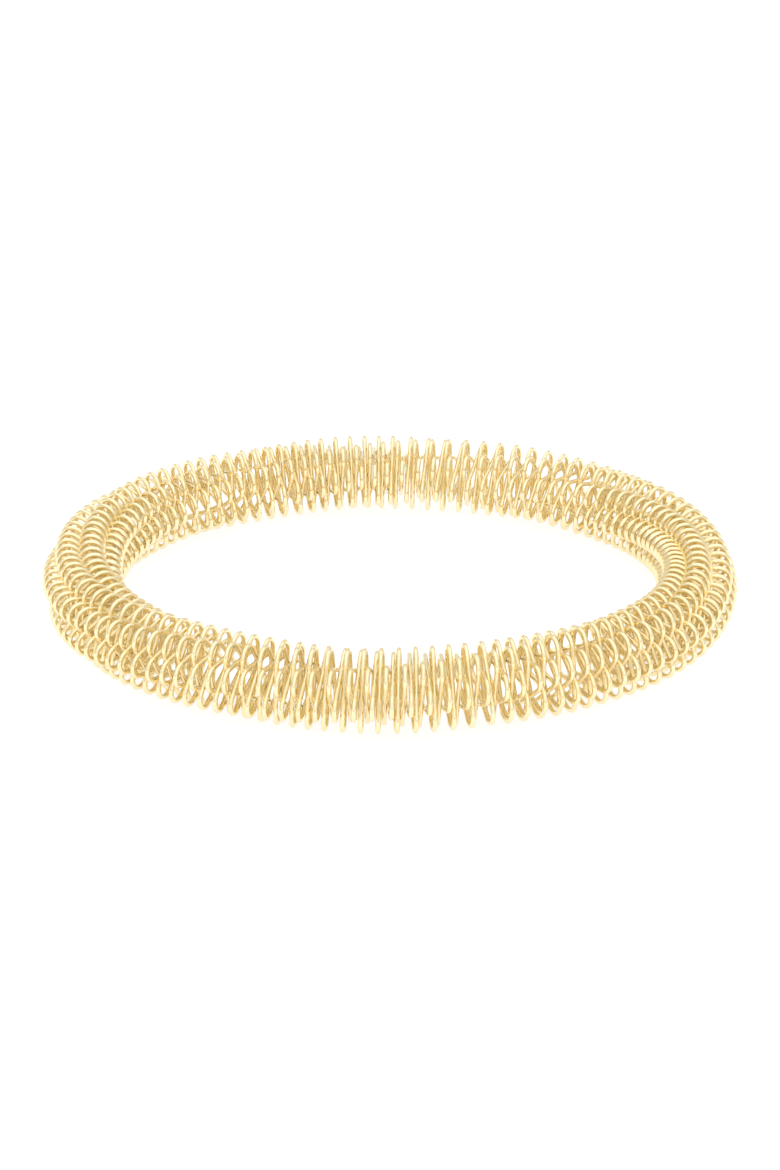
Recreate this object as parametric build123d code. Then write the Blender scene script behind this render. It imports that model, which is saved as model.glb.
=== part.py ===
from build123d import *
import math
import os

# A springy bangle that closes on itself in an oval loop. It is one wire, wound
# into a hollow rope: the wire runs in straight chords from bend to bend round
# the rope, and the bends line up as ridges that twist slowly along the loop.
# The rope is one solid of its true form here: a wall with round ridges outside
# and the chords' hollow core inside, cut through by gaps that are staggered
# from ridge to ridge in the order of the bends.
# Millimetres, +Z up. The bangle lies flat, and the origin is the middle of the
# loop at the level of the surface that it lies on. X is the loop's long way.

# Driving dimensions: the loop
opening_length = 64.0
opening_width = 44.0
end_radius = 21.8          # centre line of the rope at the loop's two ends
rope_diameter = 9.9

# The wire and the star that it is wound in
wire_diameter = 0.58
bend_radius = 1.38         # centre line of the wire in a bend
ridges = 7
ridge_step = 3             # each chord runs to the ridge that lies this far on
ridge_advance = 8          # ridges that the twist gains once round the loop
front_ridge_angle = 1.0    # from outward to up, in the middle of the front
twist_ease = 6.0           # degrees by which the twist lags beside the front

# The gaps
gap_count = 114
gap_length = 3.0           # along the rope
gap_width = 2.0            # across it

# Places along the loop where the wall has a section
end_sections = 6
side_sections = 9

rope_radius = rope_diameter / 2
half_length = opening_length / 2 + rope_radius
half_width = opening_width / 2 + rope_radius

# The centre line is four arcs that meet in one tangent: two ends, two sides
side_radius = ((half_length - end_radius) ** 2 + half_width ** 2 - end_radius ** 2) / (
    2 * (half_width - end_radius))
end_half_angle = math.degrees(math.atan2(side_radius - half_width, half_length - end_radius))
side_half_angle = 90 - end_half_angle
arcs = [
    ((half_length - end_radius, 0), end_radius, 0, end_half_angle, end_sections),
    ((0, half_width - side_radius), side_radius, 90, side_half_angle, side_sections),
    ((end_radius - half_length, 0), end_radius, 180, end_half_angle, end_sections),
    ((0, side_radius - half_width), side_radius, 270, side_half_angle, side_sections),
]
arc_lengths = [math.radians(2 * half_angle) * radius for _, radius, _, half_angle, _ in arcs]
arc_starts = [sum(arc_lengths[:index]) for index in range(len(arcs))]
loop = sum(arc_lengths)

# The star: lobes round the bends outside, and the chords' polygon inside
half_ridge = math.pi / ridges
lobe_radius = bend_radius + wire_diameter / 2
lobe_centre = rope_radius - lobe_radius
valley = lobe_centre * math.cos(half_ridge) + math.sqrt(
    lobe_radius ** 2 - (lobe_centre * math.sin(half_ridge)) ** 2)
chord_half_angle = math.pi / 2 - ridge_step * half_ridge
star_corner = lobe_centre + bend_radius / math.sin(chord_half_angle)
core_radius = star_corner * math.sin(chord_half_angle) - wire_diameter / 2


def twist(along):
    """The turn of the ridges at a length along the loop, in degrees."""
    way_round = 2 * math.pi * (along + arc_lengths[-1] / 2) / loop
    steady = math.degrees(way_round) * ridge_advance / ridges
    return front_ridge_angle + steady - twist_ease * math.sin(way_round)


def section_plane(along):
    """The plane square to the rope: its x points outward and its y up."""
    index = max(index for index, start in enumerate(arc_starts) if start <= along)
    (centre_x, centre_y), radius, middle, half_angle, _ = arcs[index]
    share = (along - arc_starts[index]) / arc_lengths[index]
    bearing = math.radians(middle + half_angle * (2 * share - 1))
    outward = (math.cos(bearing), math.sin(bearing))
    return Plane(
        origin=(centre_x + radius * outward[0], centre_y + radius * outward[1], rope_radius),
        x_dir=(outward[0], outward[1], 0),
        z_dir=(outward[1], -outward[0], 0),
    )


def polar(radius, angle):
    return (radius * math.cos(angle), radius * math.sin(angle))


def ridged_outline(turn):
    """The rope's outside: one round lobe for each ridge."""
    start = math.radians(turn)
    lobes = []
    for ridge in range(ridges):
        angle = start + 2 * half_ridge * ridge
        lobes.append(ThreePointArc(
            polar(valley, angle - half_ridge),
            polar(rope_radius, angle),
            polar(valley, angle + half_ridge),
        ))
    return Wire(lobes)


def core_outline(turn):
    """The hollow core: a polygon whose corners lie under the ridges."""
    start = math.radians(turn)
    corner = core_radius / math.cos(half_ridge)
    corners = [polar(corner, start + 2 * half_ridge * ridge) for ridge in range(ridges)]
    return Wire.make_polygon(corners, close=True)


def lofted(outline, start, length, sections):
    """A twisted bar with the given outline along one arc of the loop."""
    places = [start + length * section / (sections - 1) for section in range(sections)]
    wires = [section_plane(place) * outline(twist(place)) for place in places]
    return Solid.make_loft(wires, ruled=False)


def rope_wall():
    """The ridged wall round the hollow core, all the way round the loop."""
    walls = []
    for arc, start, length in zip(arcs, arc_starts, arc_lengths):
        sections = arc[-1]
        bar = lofted(ridged_outline, start, length, sections)
        walls.append(bar - lofted(core_outline, start, length, sections))
    return walls[0].fuse(*walls[1:])


def gap_cutters():
    """A box through the wall for each gap, from ridge to ridge as the wire goes."""
    depth = rope_diameter - core_radius
    cutters = []
    for gap in range(gap_count):
        along = loop * (gap + 0.5) / gap_count
        angle = twist(along) + 360 * (ridge_step * gap % ridges) / ridges
        box = Pos(core_radius / 2 + depth / 2, 0, 0) * Box(depth, gap_width, gap_length)
        cutters.append(section_plane(along) * Rot(0, 0, angle) * box)
    return cutters


os.makedirs("parts", exist_ok=True)
wire_rope = rope_wall().cut(*gap_cutters())
export_step(wire_rope, "parts/wire_rope.step")
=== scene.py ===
# %% [markdown]
# # A twist bangle, wound from one wire
# The bangle is a single springy gold-coloured wire. It is wound into a hollow
# rope, and the rope closes on itself in an oval. This lesson makes that wire at
# its real size, inside the form that the construction model gives it, and then
# gives it a polished gold finish on a white light table.

# %% Load the frame
import math
import bpy
import numpy as np
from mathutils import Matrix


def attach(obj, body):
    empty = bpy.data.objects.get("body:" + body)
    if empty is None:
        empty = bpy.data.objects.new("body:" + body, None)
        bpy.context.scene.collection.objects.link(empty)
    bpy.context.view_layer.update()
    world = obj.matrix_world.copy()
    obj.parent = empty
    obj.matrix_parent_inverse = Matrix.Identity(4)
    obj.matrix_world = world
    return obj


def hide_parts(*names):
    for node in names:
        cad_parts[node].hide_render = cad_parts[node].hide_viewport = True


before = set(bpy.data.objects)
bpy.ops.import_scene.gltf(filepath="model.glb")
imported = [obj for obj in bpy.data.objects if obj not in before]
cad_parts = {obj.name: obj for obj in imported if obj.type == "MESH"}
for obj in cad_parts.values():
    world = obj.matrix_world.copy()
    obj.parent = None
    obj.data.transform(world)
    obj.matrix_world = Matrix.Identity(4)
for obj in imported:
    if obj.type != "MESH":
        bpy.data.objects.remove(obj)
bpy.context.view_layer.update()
bpy.ops.object.select_all(action="DESELECT")
mm = 0.001

# %% [markdown]
# ## Sizes
# These repeat the construction model's driving sizes, in millimetres. The loop
# is an oval of four arcs. The wire has seven ridges to go to, and each straight
# run takes it to the third one on, so each bend turns it by 154 degrees. The
# windings have to meet where the loop closes, which fixes the number of bends.

# %% Sizes of the loop and of the wire
opening_length = 64.0
opening_width = 44.0
end_radius = 21.8
rope_radius = 4.95
wire_radius = 0.29
bend_radius = 1.38
bends = 807
ridges = 7
ridge_step = 3
bend_turn = math.radians(360 * ridge_step / ridges)

half_length = opening_length / 2 + rope_radius
half_width = opening_width / 2 + rope_radius
side_radius = ((half_length - end_radius) ** 2 + half_width ** 2 - end_radius ** 2) / (
    2 * (half_width - end_radius))
end_angle = math.atan2(side_radius - half_width, half_length - end_radius)
side_angle = math.pi / 2 - end_angle
loop_length = 4 * (end_radius * end_angle + side_radius * side_angle)
lead = loop_length / bends
print("loop", round(loop_length, 2), "mm, windings on a ridge", round(ridges * lead, 3), "mm apart")

# %% [markdown]
# ## One bend of the wire
# A coil repeats one small shape: half a straight run, a round bend, and half a
# straight run. A ring of eight points is the wire's outline. Extruding it makes
# the first run, Spin carries it round the bend, and a last extrusion makes the
# second run. Spin is chosen because it keeps the wire round in the bend, where
# a bent cylinder would flatten. Eight points and eight steps are enough for a
# shape that is repeated 807 times. The bends stay a hair's breadth inside the
# construction model's box.

# %% Lay out the bend
wire_sides = 8
bend_steps = 8
clearance = 0.03
bend_centre = rope_radius - clearance - wire_radius - bend_radius
chord_angle = math.pi / 2 - bend_turn / 2
half_run = ((bend_centre + bend_radius / math.sin(chord_angle)) * math.cos(chord_angle)
            - bend_radius / math.tan(chord_angle))
bend_length = bend_radius * bend_turn
wire_length = bends * (2 * half_run + bend_length)
print("half a run", round(half_run, 3), "mm, whole wire", round(wire_length / 1000, 2), "m")


def side_on(outward, up):
    """A place across the rope, whose own line is X. Outward is -Y, up is Z."""
    return (0.0, -outward * mm, up * mm)


# %% Draw one bend
run_out = half_run * math.cos(chord_angle)
run_up = half_run * math.sin(chord_angle)
entry_out = bend_centre + bend_radius * math.cos(bend_turn / 2)
entry_up = -bend_radius * math.sin(bend_turn / 2)

bpy.ops.mesh.primitive_circle_add(vertices=wire_sides, radius=wire_radius * mm,
                                  fill_type="NOTHING",
                                  location=side_on(entry_out - run_out, entry_up - run_up),
                                  rotation=(math.pi / 2 - chord_angle, 0, 0))
one_bend = bpy.context.object
one_bend.name = "one_bend"
bpy.ops.object.transform_apply(location=True, rotation=True, scale=True)
bpy.ops.object.mode_set(mode="EDIT")
bpy.ops.mesh.select_all(action="SELECT")
bpy.ops.mesh.extrude_region_move(TRANSFORM_OT_translate={"value": side_on(run_out, run_up)})
bpy.ops.mesh.spin(steps=bend_steps, angle=bend_turn, center=side_on(bend_centre, 0),
                  axis=(1, 0, 0))
bpy.ops.mesh.extrude_region_move(TRANSFORM_OT_translate={"value": side_on(-run_out, run_up)})
bpy.ops.object.mode_set(mode="OBJECT")
print("rings in one bend", len(one_bend.data.vertices) // wire_sides)

# %% [markdown]
# ## The lead, and a map along the wire
# A flat bend would run into its neighbours. Each ring is therefore moved along
# the rope by its share of the lead, the way in which a screw thread climbs. The
# same shares give the wire a UV map that runs along it, which the fine drawing
# marks of the finish will follow.

# %% Give the bend its lead and its map
travelled = [0.0]
travelled += [half_run + bend_length * step / bend_steps for step in range(bend_steps + 1)]
travelled.append(2 * half_run + bend_length)
share = [way / travelled[-1] for way in travelled]

for vertex in one_bend.data.vertices:
    vertex.co.x += lead * mm * (share[vertex.index // wire_sides] - 0.5)
wire_map = one_bend.data.uv_layers.new(name="along_wire")
for face in one_bend.data.polygons:
    sides = [one_bend.data.loops[loop].vertex_index % wire_sides for loop in face.loop_indices]
    for loop, side in zip(face.loop_indices, sides):
        ring = one_bend.data.loops[loop].vertex_index // wire_sides
        closing = side == 0 and max(sides) == wire_sides - 1
        wire_map.data[loop].uv = ((wire_sides if closing else side) / wire_sides, share[ring])
print("lead", round(lead, 4), "mm a bend,", len(one_bend.data.polygons), "faces")

# %% [markdown]
# ## The loop as a guide curve
# The rope could be bent by hand, but a Curve modifier does it exactly. The guide
# is a Bezier curve through nine points, from the middle of the front round the
# loop and back to it. A Bezier handle of 4/3 tan(angle / 4) of the radius follows
# an arc closely. The slow twist of the ridges is the curve's tilt: the ridges
# gain eight places, 411 degrees, on the way round, and the twist lags a little
# beside the front, as it does in the real rope.

# %% Find the guide's points
arcs = [
    ((0, side_radius - half_width), side_radius, -math.pi / 2, 0, side_angle),
    ((half_length - end_radius, 0), end_radius, 0, -end_angle, end_angle),
    ((0, half_width - side_radius), side_radius, math.pi / 2, -side_angle, side_angle),
    ((end_radius - half_length, 0), end_radius, math.pi, -end_angle, end_angle),
    ((0, side_radius - half_width), side_radius, 3 * math.pi / 2, -side_angle, 0),
]
guide_points = []
travel = 0.0
for (centre_x, centre_y), radius, bearing, first, last in arcs:
    steps = 1 if 0 in (first, last) else 2
    reach = 4 / 3 * math.tan((last - first) / steps / 4) * radius
    for step in range(steps + 1):
        angle = bearing + first + (last - first) * step / steps
        if step == 0 and guide_points:
            guide_points[-1]["reach_out"] = reach
            continue
        travel += radius * (last - first) / steps if step else 0
        guide_points.append({
            "place": (centre_x + radius * math.cos(angle), centre_y + radius * math.sin(angle)),
            "forward": (-math.sin(angle), math.cos(angle)),
            "travel": travel, "reach_in": reach, "reach_out": reach})
print("guide points", len(guide_points), "length", round(travel, 2), "mm")

# %% Turn the points into a curve with tilt
front_ridge_angle = 1.0
ridge_advance = 8
twist_ease = 6.0


def twist(travel):
    """How far the ridges have turned at a length along the loop, in degrees."""
    share_round = travel / loop_length
    gained = 360 * ridge_advance / ridges * share_round
    return front_ridge_angle + gained - twist_ease * math.sin(2 * math.pi * share_round)


bpy.ops.curve.primitive_bezier_curve_add(location=(0, 0, 0))
guide = bpy.context.object
guide.name = "loop_guide"
guide.data.dimensions = "3D"
guide.data.twist_mode = "Z_UP"
guide.data.resolution_u = 64
guide.data.use_deform_bounds = False
spline = guide.data.splines[0]
spline.bezier_points.add(len(guide_points) - len(spline.bezier_points))
for point, at in zip(spline.bezier_points, guide_points):
    point.handle_left_type = point.handle_right_type = "FREE"
    point.co = (at["place"][0] * mm, at["place"][1] * mm, rope_radius * mm)
    forward = (*at["forward"], 0)
    point.handle_left = [c - f * at["reach_in"] * mm for c, f in zip(point.co, forward)]
    point.handle_right = [c + f * at["reach_out"] * mm for c, f in zip(point.co, forward)]
    point.tilt = -math.radians(twist(at["travel"]))
print("guide curve", round(spline.calc_length() / mm, 3), "mm long")

# %% [markdown]
# ## Wind the rope
# An Array modifier copies the bend: an empty, turned by 154 degrees and moved by
# the lead, tells it where each next copy goes. The rope is made in four
# stretches, one for each quarter of the loop, so that no mesh gets too heavy.
# The first copy of each stretch stands where the one before it stopped.

# %% Wind four stretches
bpy.ops.object.empty_add(location=(lead * mm, 0, 0), rotation=(-bend_turn, 0, 0))
next_bend = bpy.context.object
next_bend.name = "next_bend"
weld_distance = 0.02


def take(piece):
    """Select this piece alone, and make it the active one."""
    bpy.ops.object.select_all(action="DESELECT")
    piece.select_set(True)
    bpy.context.view_layer.objects.active = piece


def wind(name, first, last):
    """One stretch of the wire, from its first bend up to its last."""
    take(one_bend)
    bpy.ops.object.duplicate()
    stretch = bpy.context.object
    stretch.name = stretch.data.name = name
    stretch.rotation_euler = (-bend_turn * (first % ridges), 0, 0)
    stretch.location = ((first + 0.5) * lead * mm, 0, 0)
    bpy.ops.object.transform_apply(location=True, rotation=True, scale=True)
    winding = stretch.modifiers.new("windings", "ARRAY")
    winding.count = last - first
    winding.use_relative_offset = False
    winding.use_object_offset = True
    winding.offset_object = next_bend
    winding.use_merge_vertices = True
    winding.merge_threshold = weld_distance * mm
    bpy.ops.object.modifier_apply(modifier=winding.name)
    return stretch


quarters = {
    "wire_front_right": (0, 201),
    "wire_back_right": (201, 403),
    "wire_back_left": (403, 605),
    "wire_front_left": (605, bends),
}
stretches = {name: wind(name, *span) for name, span in quarters.items()}
for name, stretch in stretches.items():
    print(name, len(stretch.data.vertices), "points")

# %% [markdown]
# ## Let the windings settle
# A hand-closed coil is never spaced evenly. On this one the windings crowd
# together round both ends and stand apart where the loop was closed, in the
# middle of the back. The list tells how closely they lie at places on the way
# round. Each ring of the straight rope moves as a whole, so that the wire keeps
# its thickness, and a small uneven drift is added from bend to bend.

# %% Say how closely the windings lie
way_round = [0.00, 0.03, 0.07, 0.11, 0.16, 0.21, 0.25, 0.30, 0.36, 0.40, 0.44, 0.499,
             0.501, 0.54, 0.60, 0.66, 0.71, 0.82, 0.87, 0.95, 1.00]
closeness = [0.94, 0.92, 0.98, 1.02, 1.11, 1.19, 1.21, 1.15, 1.04, 0.90, 0.85, 0.81,
             1.03, 0.97, 0.96, 1.00, 1.17, 1.17, 1.00, 1.00, 0.94]
drifts = ((0.05, 17, 0.3), (0.045, 29, 0.8), (0.03, 41, 0.1))  # mm, beats a loop, start

places = np.linspace(-0.05, 1.05, 1101)
wound = np.cumsum(np.interp(places, way_round, closeness, period=1))
wound_at_start, wound_at_end = np.interp(0, places, wound), np.interp(1, places, wound)
wound = (wound - wound_at_start) / (wound_at_end - wound_at_start)
print("closest", max(closeness), "and widest", min(closeness), "of the even spacing")


def settled(share_round):
    """Where a place of the even coil comes to lie, as a share of the loop."""
    drift = sum(size * np.sin(2 * math.pi * (beats * share_round + start))
                for size, beats, start in drifts)
    return np.interp(share_round, wound, places) + drift / loop_length


# %% Move the rings to their places
def rings_of(stretch):
    """The wire's rings of points, as an array: ring, side, X Y Z."""
    points = np.empty(len(stretch.data.vertices) * 3)
    stretch.data.vertices.foreach_get("co", points)
    return points.reshape(-1, wire_sides, 3)


def set_rings(stretch, wire_rings):
    """Put the rings back into the stretch's mesh."""
    stretch.data.vertices.foreach_set("co", wire_rings.ravel())
    stretch.data.update()


for name, stretch in stretches.items():
    wire_rings = rings_of(stretch)
    middles = wire_rings[:, :, 0].mean(axis=1)
    moves = settled(middles / (loop_length * mm)) * loop_length * mm - middles
    wire_rings[:, :, 0] += moves[:, None]
    set_rings(stretch, wire_rings)
    print(name, "windings moved by up to", round(float(np.abs(moves).max()) / mm, 2), "mm")

# %% [markdown]
# ## Close the rope round the loop
# The Curve modifier carries each straight stretch round the guide, and the
# curve's tilt turns the ridges on the way. The straight stretches start where
# their quarter starts, so together they fill the loop.

# %% Bend the stretches round the loop
for name, stretch in stretches.items():
    take(stretch)
    around = stretch.modifiers.new("around_loop", "CURVE")
    around.object = guide
    around.deform_axis = "POS_X"
    bpy.ops.object.modifier_apply(modifier=around.name)
    print(name, [round(side / mm, 1) for side in stretch.dimensions], "mm")

# %% [markdown]
# ## Draw the wire true
# Bending a rope squeezes it on the inside of the loop and spreads it on the
# outside. Real wire is round all the way, so every ring is set square to the
# wire's own way again and given its full radius.

# %% Make every ring round
for name, stretch in stretches.items():
    wire_rings = rings_of(stretch)
    middles = wire_rings.mean(axis=1)
    ways = np.gradient(middles, axis=0)
    ways /= np.linalg.norm(ways, axis=1, keepdims=True)
    across = wire_rings - middles[:, None]
    across -= (across * ways[:, None]).sum(axis=2, keepdims=True) * ways[:, None]
    radii = np.linalg.norm(across, axis=2, keepdims=True)
    wire_rings[:] = middles[:, None] + across * (wire_radius * mm / radii)
    set_rings(stretch, wire_rings)
    print(name, "was between", round(2 * float(radii.min()) / mm, 3), "and",
          round(2 * float(radii.max()) / mm, 3), "mm thick")

# %% [markdown]
# ## Close the ends
# The wire is endless, but each stretch of it has two open ends. They are found
# as the only edges with a face on one side, and filled. All faces are turned
# outwards, and the shading is made smooth by angle, so that the wire looks round
# and its end faces stay flat.

# %% Close the ends and smooth the shading
flat_end_angle = 50

for name, stretch in stretches.items():
    take(stretch)
    bpy.ops.object.mode_set(mode="EDIT")
    bpy.ops.mesh.select_mode(type="EDGE")
    bpy.ops.mesh.select_all(action="DESELECT")
    bpy.ops.mesh.select_non_manifold(extend=False)
    bpy.ops.mesh.fill_holes(sides=0)
    bpy.ops.mesh.select_all(action="SELECT")
    bpy.ops.mesh.normals_make_consistent(inside=False)
    bpy.ops.object.mode_set(mode="OBJECT")
    bpy.ops.object.shade_smooth_by_angle(angle=math.radians(flat_end_angle))
    print(name, sum(len(face.vertices) - 2 for face in stretch.data.polygons), "triangles")
for helper in (one_bend, next_bend, guide):
    bpy.data.objects.remove(helper)

# %% [markdown]
# ## Take the solid's place
# The construction model shows the rope as one solid wall with gaps. The four
# stretches of bare wire lie in the same form, so they stand for it from here on.

# %% Let the stretches replace the solid
for stretch in stretches.values():
    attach(stretch, "root")
    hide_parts("wire_rope")
print(len(stretches), "stretches stand for wire_rope")

# %% [markdown]
# ## Gold finish
# The wire is plated with pale gold and polished, so it is a full metal with low
# roughness. Gold reflects nearly all red light, so the plate colours are almost
# one in red: light that bounces about between the windings then gets yellower
# and hardly darker. Three things keep the wire from looking like plastic. The
# plating is slightly deeper here and paler there, in clouds of about 6 mm. The
# die that the wire was drawn through left fine marks along it. The marks also
# blur the reflections a little. One node group puts out all three, as a colour,
# a height and a roughness.

# %% Build the plating as a node group
pale_plate = (1.00, 0.87, 0.57, 1)
deep_plate = (0.97, 0.82, 0.49, 1)
cloud_scale = 160.0


def add_node(tree, kind, **settings):
    """A new node, with its settings and the values of its input sockets."""
    node = tree.nodes.new(kind)
    for name, value in settings.items():
        if name in node.inputs:
            node.inputs[name].default_value = value
        else:
            setattr(node, name, value)
    return node


def node_group(name, **outputs):
    """A new node group with one output for each name, underscores as spaces."""
    tree = bpy.data.node_groups.new(name, "ShaderNodeTree")
    for output, kind in outputs.items():
        tree.interface.new_socket(output.replace("_", " "), in_out="OUTPUT",
                                  socket_type="NodeSocket" + kind)
    return tree, add_node(tree, "NodeGroupOutput"), add_node(tree, "ShaderNodeTexCoord")


plating, result, place = node_group("gold_plating", Plate_Color="Color",
                                    Plate_Roughness="Float", Draw_Marks="Float")
link = plating.links.new
cloud = add_node(plating, "ShaderNodeTexNoise", Scale=cloud_scale, Detail=3.0, Roughness=0.6)
cloud_mask = add_node(plating, "ShaderNodeMapRange", **{"From Min": 0.35, "From Max": 0.65})
tone = add_node(plating, "ShaderNodeMix", data_type="RGBA")
tone.inputs[6].default_value = deep_plate
tone.inputs[7].default_value = pale_plate
link(place.outputs["Object"], cloud.inputs["Vector"])
link(cloud.outputs["Fac"], cloud_mask.inputs["Value"])
link(cloud_mask.outputs["Result"], tone.inputs["Factor"])
link(tone.outputs[2], result.inputs["Plate Color"])
print("clouds of plating", round(1 / cloud_scale / mm, 1), "mm across")

# %% Add the drawing marks along the wire
marks_round = 14.0
marks_along = 1.2
smoothest, dullest = 0.11, 0.24

along_wire = add_node(plating, "ShaderNodeUVMap", uv_map="along_wire")
drawn_out = add_node(plating, "ShaderNodeMapping", Scale=(marks_round, marks_along, 1.0))
marks = add_node(plating, "ShaderNodeTexNoise", Scale=1.0, Detail=4.0, Roughness=0.65)
blur = add_node(plating, "ShaderNodeMapRange",
                **{"From Min": 0.3, "From Max": 0.7, "To Min": smoothest, "To Max": dullest})
link(along_wire.outputs["UV"], drawn_out.inputs["Vector"])
link(drawn_out.outputs["Vector"], marks.inputs["Vector"])
link(marks.outputs["Fac"], blur.inputs["Value"])
link(blur.outputs["Result"], result.inputs["Plate Roughness"])
link(marks.outputs["Fac"], result.inputs["Draw Marks"])
print("gold plating has", len(plating.nodes), "nodes")

# %% [markdown]
# ## Plate the wire
# The metal itself stays in the material, and the group only feeds its sockets.
# The marks are a fiftieth of a millimetre deep at most, and faint.

# %% Put the plating on the wire
mark_depth = 0.02
gold = bpy.data.materials.new("gold_wire")
gold.use_nodes = True
shader = gold.node_tree.nodes["Principled BSDF"]
shader.inputs["Metallic"].default_value = 1.0
plate = add_node(gold.node_tree, "ShaderNodeGroup", node_tree=plating)
scratch = add_node(gold.node_tree, "ShaderNodeBump", Strength=0.25, Distance=mark_depth * mm)
link = gold.node_tree.links.new
link(plate.outputs["Plate Color"], shader.inputs["Base Color"])
link(plate.outputs["Plate Roughness"], shader.inputs["Roughness"])
link(plate.outputs["Draw Marks"], scratch.inputs["Height"])
link(scratch.outputs["Normal"], shader.inputs["Normal"])
for stretch in stretches.values():
    stretch.data.materials.clear()
    stretch.data.materials.append(gold)
print(gold.name, "is on", gold.users, "stretches")

# %% [markdown]
# ## Light table
# The bangle lies on a matt white sheet that is lit from below, so that it shows
# next to no shadow. The sheet has a faint grain. It could be plain white, but
# then its light would have to be much stronger from above to look as white, and
# the gold would burn out.

# %% Lay the light table
bpy.ops.mesh.primitive_plane_add(size=4, location=(0, 0, 0))
floor = bpy.context.object
floor.name = "light_table"

grain, result, place = node_group("sheet_grain", Sheet_Color="Color", Grain="Float")
link = grain.links.new
fibre = add_node(grain, "ShaderNodeTexNoise", Scale=900.0, Detail=5.0, Roughness=0.7)
tint = add_node(grain, "ShaderNodeMapRange", **{"To Min": 0.33, "To Max": 0.37})
link(place.outputs["Object"], fibre.inputs["Vector"])
link(fibre.outputs["Fac"], tint.inputs["Value"])
link(tint.outputs["Result"], result.inputs["Sheet Color"])
link(fibre.outputs["Fac"], result.inputs["Grain"])
print("light table", [round(side, 1) for side in floor.dimensions], "m")

# %% Make the sheet white from below
sheet = bpy.data.materials.new("white_sheet")
sheet.use_nodes = True
sheet_shader = sheet.node_tree.nodes["Principled BSDF"]
sheet_shader.inputs["Roughness"].default_value = 0.9
sheet_shader.inputs["Emission Color"].default_value = (1, 1, 1, 1)
sheet_shader.inputs["Emission Strength"].default_value = 0.80
fibres = add_node(sheet.node_tree, "ShaderNodeGroup", node_tree=grain)
relief = add_node(sheet.node_tree, "ShaderNodeBump", Strength=0.1, Distance=0.05 * mm)
link = sheet.node_tree.links.new
link(fibres.outputs["Sheet Color"], sheet_shader.inputs["Base Color"])
link(fibres.outputs["Grain"], relief.inputs["Height"])
link(relief.outputs["Normal"], sheet_shader.inputs["Normal"])
floor.data.materials.append(sheet)
print("sheet has", len(grain.nodes), "nodes in its grain")

# %% [markdown]
# ## Soft light
# A plain white world fills in from all sides, which a bright metal needs to look
# bright. Two large softboxes, one above and one behind the camera, add a broad
# soft highlight to each wire.

# %% Light it softly
world = bpy.data.worlds.new("pale_studio")
bpy.context.scene.world = world
world.use_nodes = True
sky = world.node_tree.nodes["Background"]
sky.inputs["Color"].default_value = (1, 1, 1, 1)
sky.inputs["Strength"].default_value = 0.82


def softbox(name, place, size, brightness):
    """A rectangular lamp that points at the loop. Its power follows its size."""
    bpy.ops.object.light_add(type="AREA", location=place)
    lamp = bpy.context.object
    lamp.name = name
    lamp.data.shape = "RECTANGLE"
    lamp.data.size, lamp.data.size_y = size
    lamp.data.energy = brightness * math.pi * size[0] * size[1]
    level = math.hypot(place[0], place[1])
    lamp.rotation_euler = (math.atan2(level, place[2]), 0, math.atan2(place[0], -place[1]))
    print(name, round(lamp.data.energy, 2), "W")


softbox("top_softbox", (0, 0.1, 0.6), (1.2, 1.0), 0.4)
softbox("front_softbox", (0, -0.72, 0.58), (1.4, 0.9), 0.4)

# %% [markdown]
# ## Camera
# The camera looks down at the front of the loop by about 29 degrees, from close
# by, as in a product photo. Its lens is long enough to show the whole loop with
# a wide white margin.

# %% Place the camera
look_down = math.radians(29.06)
aim_lower = math.radians(0.325)
distance = 0.277
bpy.ops.object.camera_add(
    location=(0, -distance * math.cos(look_down), rope_radius * mm + distance * math.sin(look_down)),
    rotation=(math.pi / 2 - look_down - aim_lower, 0, 0))
camera = bpy.context.object
camera.name = "photo_camera"
camera.data.lens = 70.5
camera.data.sensor_width = 36
camera.data.clip_start = 0.01
bpy.context.scene.camera = camera
bpy.context.scene.view_settings.view_transform = "Standard"
print("camera", [round(side / mm) for side in camera.location], "mm from the loop's middle")
